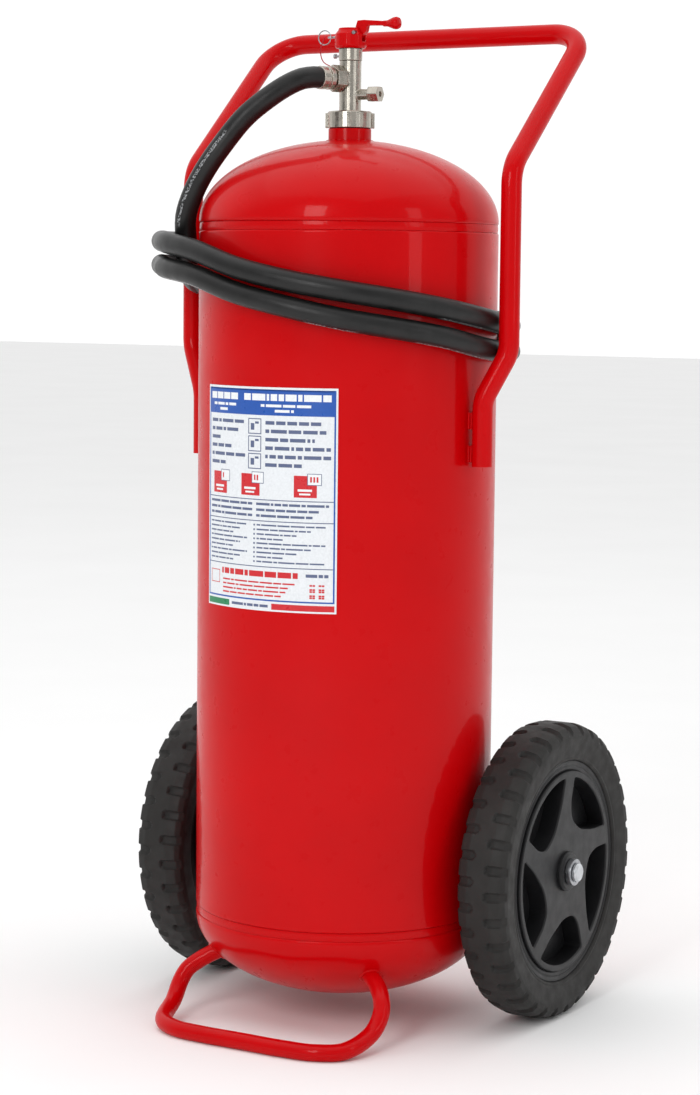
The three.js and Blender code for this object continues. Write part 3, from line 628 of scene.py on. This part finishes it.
HANDLE_R = 13.45
FOOT_R = 11.2
LEG_X = 246.0
LEG_Y = -6.0
LEG_LOW_X = 217.5
LEG_LOW_Y = -22.0
LEG_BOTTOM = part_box("push_handle")[0][2] / MM
KINK_LOW = 838.0
KINK_HIGH = 900.0
HANDLE_BEND = 1138.0
GRIP_Y = 208.6
GRIP_Z = 1326.0


def make_handle():
    half = [Vector((LEG_LOW_X, LEG_LOW_Y, LEG_BOTTOM)), Vector((LEG_LOW_X, LEG_LOW_Y, KINK_LOW)),
            Vector((LEG_X, LEG_Y, KINK_HIGH)), Vector((LEG_X, LEG_Y, HANDLE_BEND)),
            Vector((LEG_X, GRIP_Y, GRIP_Z))]
    other = [Vector((-p.x, p.y, p.z)) for p in reversed(half)]
    points, faces, _ = tube_mesh(rounded([*half, *other], 50.0, 14), HANDLE_R, 36)
    piece = make_mesh("handle_tube", points, faces, RED, "frame", "vessel_paint", 60)
    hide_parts("push_handle")
    for side in (-1, 1):
        for level in (768.0, 811.0):
            make_tab_welds(side, level)


def make_tab_welds(side, level):
    """Weld beads on both sides of a tab, where it meets the vessel and the handle's leg."""
    angle = math.degrees(math.atan2(LEG_LOW_Y, side * LEG_LOW_X))
    word = "left" if side < 0 else "right"
    for offset, mark in ((-1, "front"), (1, "back")):
        for radius, place in ((VESSEL_R + 0.6, "wall"), (VESSEL_R + 4.6, "leg")):
            shift = math.degrees(offset * 5.0 / radius)
            path = [around(angle + shift, radius, level - 11 + 2.2 * i) for i in range(11)]
            weld_bead(f"tab_weld_{word}_{int(level)}_{mark}_{place}", path, 1.9, "frame")


FOOT_POINTS = [
    (0, -254, 0), (65, -254, 0), (108, -248, 0), (140, -227, 2), (154, -182, 17), (156, -162, 39),
    (151, -153, 53), (141, -143, 63), (130, -135, 71), (112, -125, 81),
]
FOOT_Z = 10.2


def make_foot():
    half = [Vector((x, y, z + FOOT_Z)) for x, y, z in FOOT_POINTS]
    other = [Vector((-p.x, p.y, p.z)) for p in reversed(half[1:])]
    path = centripetal([*other, *half], 160)
    points, faces, _ = tube_mesh(path, FOOT_R, 28)
    points = [Vector((p.x, p.y, max(p.z, 0.0))) for p in points]
    piece = make_mesh("foot_tube", points, faces, RED, "frame", "vessel_paint", 60)
    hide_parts("foot_loop")
    for side, word in ((-1, "left"), (1, "right")):
        make_foot_weld(side, word)


def make_foot_weld(side, word):
    """The fillet weld where an arm of the foot loop enters the lower dome."""
    fall = BOTTOM_RIM - BOTTOM_APEX
    end = Vector((side * 112, -125, 81 + FOOT_Z))
    start = Vector((side * 130, -135, 71 + FOOT_Z))
    run = (end - start).normalized()
    across = run.cross(Vector((0, 0, 1))).normalized()
    above = across.cross(run)
    path = []
    for i in range(49):
        a = 2 * math.pi * i / 48
        ray = start + (across * math.cos(a) + above * math.sin(a)) * (FOOT_R + 0.6) - run * 12
        for _ in range(80):
            reach = (ray.x ** 2 + ray.y ** 2) / VESSEL_R ** 2 + ((ray.z - BOTTOM_RIM) / fall) ** 2
            if reach <= 1.0 or ray.z > BOTTOM_RIM:
                break
            ray = ray + run * 0.5
        path.append(ray)
    weld_bead(f"foot_weld_{word}", path, 2.6, "frame")


make_handle()
make_foot()

# ---- wheels ----

BEAD_R = 150.0
NOTCHES = 36
NOTCH_REACH = 27.0
NOTCH_HALF = 5.6
NOTCH_DEPTH = 5.0
SPOKES = 5
STAR_R = 136.0
STAR_W = 60.0
STAR_EDGE = 2.2
FIRST_POCKET = 49.6
MEMBRANE_W = 8.0
HUB_R = 27.0
HUB_LENGTH = (RIM_HIGH[0] - RIM_LOW[0]) / MM
RIM_W = 54.0


def tyre_section():
    """Half of the tyre's outline from the bead to the crown, as (radius, distance from the middle)."""
    half = TYRE_W / 2
    corners = [(BEAD_R, half - 7), (BEAD_R + 3, half - 4), (BEAD_R + 5, half - 4.6),
               (BEAD_R + 8, half - 3.6), (BEAD_R + 30, half), (WHEEL_R - 11, half - 0.5),
               (WHEEL_R - 4, half - 5.5), (WHEEL_R, half - 18), (WHEEL_R, 0)]
    return soften(corners, 1.4, 3, closed=False)


def refine(profile, longest):
    result = [profile[0]]
    for a, b in zip(profile, profile[1:]):
        steps = max(1, math.ceil(math.dist(a, b) / longest))
        result += [(a[0] + (b[0] - a[0]) * i / steps, a[1] + (b[1] - a[1]) * i / steps)
                   for i in range(1, steps + 1)]
    return result


def notch_cut(angle, x):
    """How deep the tread is cut at an angle and a distance from the wheel's middle plane."""
    half = TYRE_W / 2
    pitch = 2 * math.pi / NOTCHES
    shift = 0.0 if x > 0 else pitch / 2
    around_it = ((angle + shift + pitch / 2) % pitch - pitch / 2) * WHEEL_R
    inner = half - NOTCH_REACH + NOTCH_HALF
    along = min(abs(x) - inner, 0.0)
    distance = math.hypot(around_it, along) - NOTCH_HALF
    wall = 1.6
    share = min(max(0.5 - distance / wall, 0.0), 1.0)
    return NOTCH_DEPTH * share * share * (3 - 2 * share)


def make_tyre(side, word):
    section = refine(tyre_section(), 2.0)
    mirrored = [(r, -x) for r, x in reversed(section[:-1])]
    tread = section + mirrored
    segments = 720
    points = []
    for s in range(segments):
        a = 2 * math.pi * s / segments
        for r, x in tread:
            depth = notch_cut(a, x) * min(max((r - WHEEL_R + 16) / 3, 0.0), 1.0)
            reach = r - depth
            points.append(Vector((side * (WHEEL_MIDDLE + x), WHEEL_Y + reach * math.cos(a),
                                  WHEEL_R + reach * math.sin(a))))
    rows = len(tread)
    faces = []
    for s in range(segments):
        t = (s + 1) % segments
        for i in range(rows):
            j = (i + 1) % rows
            quad = (s * rows + i, s * rows + j, t * rows + j, t * rows + i)
            faces.append(quad if side > 0 else tuple(reversed(quad)))
    piece = make_mesh(f"tread_tyre_{word}", points, faces, TYRE, f"wheel_{word}", "tyre_rubber", 50)
    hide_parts(f"tyre_{word}")


# The corners of a pocket between two spokes: distance from the hub, and angle from the pocket's middle.
POCKET = [(92, 31.5), (72, 27), (66, 12), (68, -2), (94, -22)]
POCKET_OUTER = 127.0
POCKET_HALF = 29.5


def pocket_outline(angle):
    """A pocket between two spokes, wide at the rim and skewed towards the hub."""
    def polar(radius, turn):
        a = angle + math.radians(turn)
        return Vector((radius * math.cos(a), radius * math.sin(a), 0))

    arc = [polar(POCKET_OUTER, POCKET_HALF * (2 * i / 14 - 1)) for i in range(15)]
    return round_loop([*[polar(*corner) for corner in POCKET], *arc], 12.0)


def round_loop(corners, radius):
    count = len(corners)
    result = []
    for i, corner in enumerate(corners):
        before = corners[i - 1] - corner
        after = corners[(i + 1) % count] - corner
        reach = min(radius, before.length * 0.48, after.length * 0.48)
        start = corner + before.normalized() * reach
        end = corner + after.normalized() * reach
        for k in range(5):
            f = k / 4
            result.append(start.lerp(corner, f).lerp(corner.lerp(end, f), f))
    return result


def star_plate():
    """The five-spoked plate with rounded edges, as a mesh from a filled, bevelled outline."""
    outline = bpy.data.curves.new("star_outline", "CURVE")
    outline.dimensions = "2D"
    outline.fill_mode = "BOTH"
    outline.extrude = STAR_W / 2 - STAR_EDGE
    outline.bevel_depth = STAR_EDGE
    outline.bevel_resolution = 3
    outline.offset = -STAR_EDGE
    turns = [2 * math.pi * i / 120 for i in range(120)]
    loops = [[Vector((STAR_R * math.cos(a), STAR_R * math.sin(a), 0)) for a in turns]]
    first = math.radians(FIRST_POCKET)
    loops += [pocket_outline(first + 2 * math.pi * i / SPOKES) for i in range(SPOKES)]
    for loop in loops:
        spline = outline.splines.new("POLY")
        spline.points.add(len(loop) - 1)
        for point, place in zip(spline.points, loop):
            point.co = (*place, 1)
        spline.use_cyclic_u = True
    source = bpy.data.objects.new("star_outline", outline)
    bpy.context.collection.objects.link(source)
    graph = bpy.context.evaluated_depsgraph_get()
    graph.update()
    mesh = bpy.data.meshes.new_from_object(source.evaluated_get(graph))
    points = [v.co.copy() for v in mesh.vertices]
    faces = [tuple(p.vertices) for p in mesh.polygons]
    bpy.data.objects.remove(source)
    bpy.data.meshes.remove(mesh)
    bpy.data.curves.remove(outline)
    return points, faces


def wheel_matrix(side):
    """Takes a shape built round +Z at the wheel's middle to its place; +Z becomes outward."""
    turn = Matrix(((0, 0, side), (1, 0, 0), (0, 1, 0))).to_4x4()
    return Matrix.Translation((side * WHEEL_MIDDLE, WHEEL_Y, WHEEL_R)) @ turn


def faced(part, side):
    """Reverses the faces of a mirrored part."""
    return part if side > 0 else (part[0], [tuple(reversed(f)) for f in part[1]])


def make_rim(side, word):
    half = RIM_W / 2
    well = soften([(132, -half), (RIM_R, -half), (RIM_R, half), (146, half), (143.5, half - 1.6),
                   (141, half), (137, half - 1.0), (132, half - 5)], 1.2, 3)
    bore = 13.3
    hub = soften([(bore, -HUB_LENGTH / 2), (HUB_R - 3, -HUB_LENGTH / 2), (HUB_R, -HUB_LENGTH / 2 + 3),
                  (HUB_R, HUB_LENGTH / 2 - 3), (HUB_R - 3, HUB_LENGTH / 2), (bore + 3, HUB_LENGTH / 2),
                  (bore + 2, HUB_LENGTH / 2 - 1), (bore, HUB_LENGTH / 2 - 1)], 1.0, 3)
    membrane = soften([(20, -MEMBRANE_W / 2), (STAR_R, -MEMBRANE_W / 2), (STAR_R, MEMBRANE_W / 2),
                       (20, MEMBRANE_W / 2)], 0.5, 2)
    parts = joined(star_plate(), lathe_mesh(well, 180, True), lathe_mesh(hub, 72, True),
                   lathe_mesh(membrane, 120, True))
    placed = faced(moved(parts, wheel_matrix(side)), side)
    piece = make_mesh(f"spoked_rim_{word}", *placed, PLASTIC, f"wheel_{word}", "black_plastic", 35)
    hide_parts(f"wheel_rim_{word}")


def make_wheels():
    for side, word in ((-1, "left"), (1, "right")):
        make_tyre(side, word)
        make_rim(side, word)
        make_axle_end(side, word)


def make_axle_end(side, word):
    """The retaining ring and the chamfered zinc axle cap on the outside of the hub."""
    body = "frame"
    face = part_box("outer_washer_right")[0][0] / MM - WHEEL_MIDDLE
    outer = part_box("outer_washer_right")[1][0] / MM - WHEEL_MIDDLE
    ring = soften([(10.3, face), (18, face), (18, outer), (10.3, outer)], 0.4, 2)
    placed = faced(moved(lathe_mesh(ring, 64, True), wheel_matrix(side)), side)
    piece = make_mesh(f"retaining_ring_{word}", *placed, STEEL, body, "zinc", 40)
    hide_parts(f"outer_washer_{word}")
    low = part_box("axle_cap_right")[0][0] / MM - WHEEL_MIDDLE
    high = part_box("axle_cap_right")[1][0] / MM - WHEEL_MIDDLE
    cap = soften([(0, low), (13, low), (13, high - 2.2), (10.6, high), (0, high)], 0.8, 3, closed=False)
    placed = faced(moved(lathe_mesh(cap, 64, False), wheel_matrix(side)), side)
    piece = make_mesh(f"zinc_axle_cap_{word}", *placed, ZINC, body, "zinc", 40)
    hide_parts(f"axle_cap_{word}")


make_wheels()

# ---- label ----

LABEL_FROM = -123.2
LABEL_TO = -62.6
LABEL_BOTTOM = LABEL_LOW[2] / MM
LABEL_TOP = LABEL_HIGH[2] / MM
SHEET_R = VESSEL_R + 0.3


class PrintedSheet:
    """Collects printed patches on the curved sheet; u runs left to right and v from the top down."""

    def __init__(self):
        self.parts = {}

    def patch(self, u0, v0, u1, v1, ink, level=1):
        radius = SHEET_R + 0.45 + 0.05 * level
        steps = max(1, math.ceil((u1 - u0) * 40))
        points = []
        for i in range(steps + 1):
            angle = LABEL_FROM + (LABEL_TO - LABEL_FROM) * (u0 + (u1 - u0) * i / steps)
            for v in (v0, v1):
                points.append(around(angle, radius, LABEL_TOP + (LABEL_BOTTOM - LABEL_TOP) * v))
        faces = [(2 * i, 2 * i + 1, 2 * i + 3, 2 * i + 2) for i in range(steps)]
        old_points, old_faces = self.parts.get(ink.name, ([], []))
        self.parts[ink.name] = joined((old_points, old_faces), (points, faces))

    def frame_box(self, u0, v0, u1, v1, line, ink, level=1):
        tall = line * 0.7
        self.patch(u0, v0, u1, v0 + tall, ink, level)
        self.patch(u0, v1 - tall, u1, v1, ink, level)
        self.patch(u0, v0, u0 + line, v1, ink, level)
        self.patch(u1 - line, v0, u1, v1, ink, level)

    def words(self, u0, v, u1, height, ink, seed, gap=0.012, level=1):
        """A line of text shown only as a row of plain bars of uneven length."""
        u = u0
        step = seed
        while u < u1 - 0.01:
            step = (step * 7 + 3) % 11
            width = min(0.018 + 0.009 * step, u1 - u)
            self.patch(u, v, u + width, v + height, ink, level)
            u += width + gap

    def finish(self):
        inks = {ink.name: ink for ink in (INK_BLUE, INK_GREY, INK_RED, INK_GREEN, INK_WHITE)}
        for name, part in self.parts.items():
            faces = [tuple(reversed(f)) for f in part[1]]
            make_mesh(f"print_{name}", part[0], faces, inks[name], "frame", "label_paper", 60)


def make_label_sheet():
    steps = 48
    thick = 0.4
    points = []
    for i in range(steps + 1):
        angle = LABEL_FROM + (LABEL_TO - LABEL_FROM) * i / steps
        for radius in (SHEET_R, SHEET_R + thick):
            for z in (LABEL_BOTTOM, LABEL_TOP):
                points.append(around(angle, radius, z))
    faces = [(0, 1, 3, 2), (4 * steps, 4 * steps + 2, 4 * steps + 3, 4 * steps + 1)]
    for i in range(steps):
        a = 4 * i
        b = a + 4
        faces += [(a, b, b + 1, a + 1), (a + 2, a + 3, b + 3, b + 2), (a, a + 2, b + 2, b),
                  (a + 1, b + 1, b + 3, a + 3)]
    flipped = [tuple(reversed(f)) for f in faces]
    piece = make_mesh("label_sheet", points, flipped, PAPER, "frame", "label_paper", 60)
    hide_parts("instruction_label")


def print_label():
    sheet = PrintedSheet()
    sheet.frame_box(0.012, 0.010, 0.988, 0.955, 0.010, INK_BLUE)
    sheet.patch(0.012, 0.010, 0.988, 0.125, INK_BLUE)
    sheet.words(0.04, 0.030, 0.33, 0.030, INK_WHITE, 5, 0.008, 2)
    sheet.words(0.37, 0.030, 0.96, 0.030, INK_WHITE, 8, 0.010, 2)
    sheet.words(0.07, 0.076, 0.30, 0.012, INK_WHITE, 3, 0.010, 2)
    sheet.words(0.50, 0.076, 0.84, 0.012, INK_WHITE, 6, 0.010, 2)
    sheet.words(0.14, 0.099, 0.22, 0.012, INK_WHITE, 1, 0.010, 2)
    sheet.words(0.60, 0.099, 0.73, 0.012, INK_WHITE, 4, 0.010, 2)
    for i, (left_end, right_end) in enumerate(
            [(0.38, 0.90), (0.32, 0.93), (0.16, 0.86), (0.28, 0.96), (0.38, 0.96), (0.22, 0.78)]):
        v = 0.150 + 0.0375 * i
        sheet.words(0.045, v, left_end, 0.015, INK_GREY, i + 2)
        sheet.words(0.535, v, right_end, 0.016, INK_GREY, i + 5)
    for i in range(3):
        top = 0.140 + 0.078 * i
        sheet.frame_box(0.405, top, 0.505, top + 0.070, 0.006, INK_GREY)
        sheet.patch(0.425, top + 0.022, 0.452, top + 0.052, INK_GREY)
        sheet.patch(0.458, top + 0.014, 0.486, top + 0.024, INK_GREY)
    for i, left in enumerate((0.07, 0.35, 0.73)):
        sheet.patch(left, 0.388, left + 0.145, 0.485, INK_RED)
        sheet.patch(left + 0.085, 0.378, left + 0.175, 0.430, INK_WHITE, 2)
        sheet.frame_box(left + 0.085, 0.378, left + 0.175, 0.430, 0.004, INK_GREY, 3)
        sheet.patch(left + 0.025, 0.448, left + 0.115, 0.458, INK_WHITE, 2)
        sheet.patch(left + 0.035, 0.466, left + 0.105, 0.474, INK_WHITE, 2)
        for k in range(i + 1):
            sheet.patch(left + 0.103 + 0.020 * k, 0.392, left + 0.114 + 0.020 * k, 0.416, INK_RED, 3)
    for v in (0.500, 0.595, 0.800):
        sheet.patch(0.022, v, 0.978, v + 0.004, INK_GREY)
    for i in range(3):
        v = 0.516 + 0.026 * i
        sheet.words(0.04, v, 0.44, 0.011, INK_GREY, i + 1, 0.008)
        sheet.words(0.47, v, 0.95 - 0.05 * i, 0.011, INK_GREY, i + 4, 0.008)
    for i in range(9):
        v = 0.612 + 0.0205 * i
        sheet.words(0.04, v, 0.40 - 0.06 * (i % 3), 0.007, INK_GREY, i + 3, 0.007)
        sheet.patch(0.450, v, 0.462, v + 0.008, INK_GREY)
        sheet.words(0.475, v, 0.93 - 0.09 * (i % 4), 0.007, INK_GREY, i + 6, 0.007)
    sheet.words(0.17, 0.822, 0.76, 0.026, INK_RED, 9, 0.010)
    sheet.words(0.81, 0.826, 0.95, 0.014, INK_GREY, 2, 0.008)
    for i in range(4):
        sheet.words(0.18, 0.870 + 0.019 * i, 0.74 - 0.03 * i, 0.007, INK_RED, i + 2, 0.008)
    sheet.frame_box(0.045, 0.835, 0.145, 0.895, 0.005, INK_RED)
    for i in range(7):
        for k in range(8):
            if (i * 5 + k * 3 + i * k) % 3:
                left = 0.815 + 0.019 * i
                top = 0.872 + 0.0092 * k
                sheet.patch(left, top, left + 0.016, top + 0.0078, INK_RED)
    sheet.patch(0.012, 0.965, 0.245, 0.992, INK_GREEN)
    sheet.words(0.27, 0.972, 0.56, 0.012, INK_GREY, 4, 0.008)
    sheet.patch(0.585, 0.965, 0.988, 0.992, INK_RED)
    sheet.finish()


make_label_sheet()
print_label()

# ---- valve, gun and small CAD pieces ----


def finish_node(name, material, voxel=None, smoothing=2):
    """A CAD node with its own material and, where it is a casting, softened edges."""
    node = NODES[name]
    node.data.materials.clear()
    node.data.materials.append(material)
    node.data.polygons.foreach_set("use_smooth", [True] * len(node.data.polygons))
    node.data.set_sharp_from_angle(angle=math.radians(38))
    if voxel:
        remesh = node.modifiers.new("cast", "REMESH")
        remesh.mode = "VOXEL"
        remesh.voxel_size = voxel * MM
        remesh.use_smooth_shade = True
        relax = node.modifiers.new("soft", "SMOOTH")
        relax.factor = 0.5
        relax.iterations = smoothing


def finish_nodes():
    for name in ("lever_head", "valve_lever"):
        finish_node(name, RED, 0.45, 4)
    for name in ("valve_body", "coupling_nut", "side_port_cap", "hose_swivel_nut"):
        finish_node(name, NICKEL, 0.45, 3)
    for name in ("gland_nut", "hose_ferrule", "gun_ferrule"):
        finish_node(name, NICKEL, 0.4, 4)
    for name in ("gun_body", "gun_nozzle"):
        finish_node(name, GUN_PLASTIC, 0.5, 4)
    for name in ("safety_pin", "pin_ring", "gland_screw", "lever_pivot_pin"):
        finish_node(name, STEEL, 0.22, 3)
    for word in ("left", "right"):
        for name in (f"weld_tab_{word}_lower", f"weld_tab_{word}_upper"):
            finish_node(name, RED, 0.5, 3)
        finish_node(f"axle_bracket_{word}", RED, 0.8, 3)
        for name in ("stub_axle", "inner_washer"):
            finish_node(f"{name}_{word}", ZINC, 0.5, 3)
        finish_node(f"hub_bush_{word}", NYLON)
    finish_node("gun_holder", RED, 0.5, 3)
    finish_node("seal_cord", CORD_RED, 0.2, 3)
    finish_node("gun_trigger", GUN_PLASTIC)
    finish_node("gun_trigger_pin", STEEL)
    finish_node("valve_spindle", STEEL)
    finish_node("valve_plug", SEAL)
    finish_node("neck_gasket", SEAL)
    finish_node("dip_tube", NYLON)


finish_nodes()

# ---- floor and light ----


def make_floor():
    size = 30.0
    mesh = bpy.data.meshes.new("floor")
    edges = [(-size, -size, 0), (size, -size, 0), (size, size, 0), (-size, size, 0)]
    mesh.from_pydata(edges, [], [(0, 1, 2, 3)])
    material, nodes, links, bsdf = new_material("pale_floor")
    links.new(scalar_ramp(nodes, links, noise(nodes, links, 1.5), 0.93, 0.95), bsdf.inputs["Base Color"])
    bsdf.inputs["Roughness"].default_value = 0.9
    bsdf.inputs["Specular IOR Level"].default_value = 0.1
    mesh.materials.append(material)
    floor = bpy.data.objects.new("floor", mesh)
    bpy.context.collection.objects.link(floor)


def make_area(name, place, target, size, power):
    data = bpy.data.lights.new(name, "AREA")
    data.shape = "RECTANGLE"
    data.size, data.size_y = size
    data.energy = power
    light = bpy.data.objects.new(name, data)
    bpy.context.collection.objects.link(light)
    aim = Vector(target) - Vector(place)
    light.matrix_world = Matrix.Translation(place) @ aim.to_track_quat("-Z", "Y").to_matrix().to_4x4()


def make_light():
    """A white backdrop behind the object, dimmer surroundings, one broad lamp above and two in front."""
    world = bpy.data.worlds.new("studio")
    world.use_nodes = True
    nodes = world.node_tree.nodes
    links = world.node_tree.links
    direction = nodes.new("ShaderNodeTexCoord").outputs["Generated"]
    facing = nodes.new("ShaderNodeVectorMath")
    facing.operation = "DOT_PRODUCT"
    links.new(direction, facing.inputs[0])
    facing.inputs[1].default_value = (-math.sin(CAMERA_AZIMUTH), math.cos(CAMERA_AZIMUTH), 0.9)
    shade = ramp(nodes, links, facing.outputs["Value"], [(0.0, (0.42,) * 3), (0.6, (1.0,) * 3)])
    links.new(shade, nodes["Background"].inputs["Color"])
    nodes["Background"].inputs["Strength"].default_value = 1.06
    bpy.context.scene.world = world
    make_area("above", (0, 0, 6.0), (0, 0, 0), (8.0, 8.0), 90)
    make_area("key", (0.3, -3.6, 2.2), (0, 0, 0.7), (1.0, 1.8), 40)
    make_area("fill", (3.6, -0.6, 1.8), (0, 0, 0.6), (0.7, 2.0), 10)
    bpy.context.scene.view_settings.view_transform = "Standard"


make_floor()
make_light()


def corners(bounds):
    return [[float(v) for v in corner] for corner in bounds]
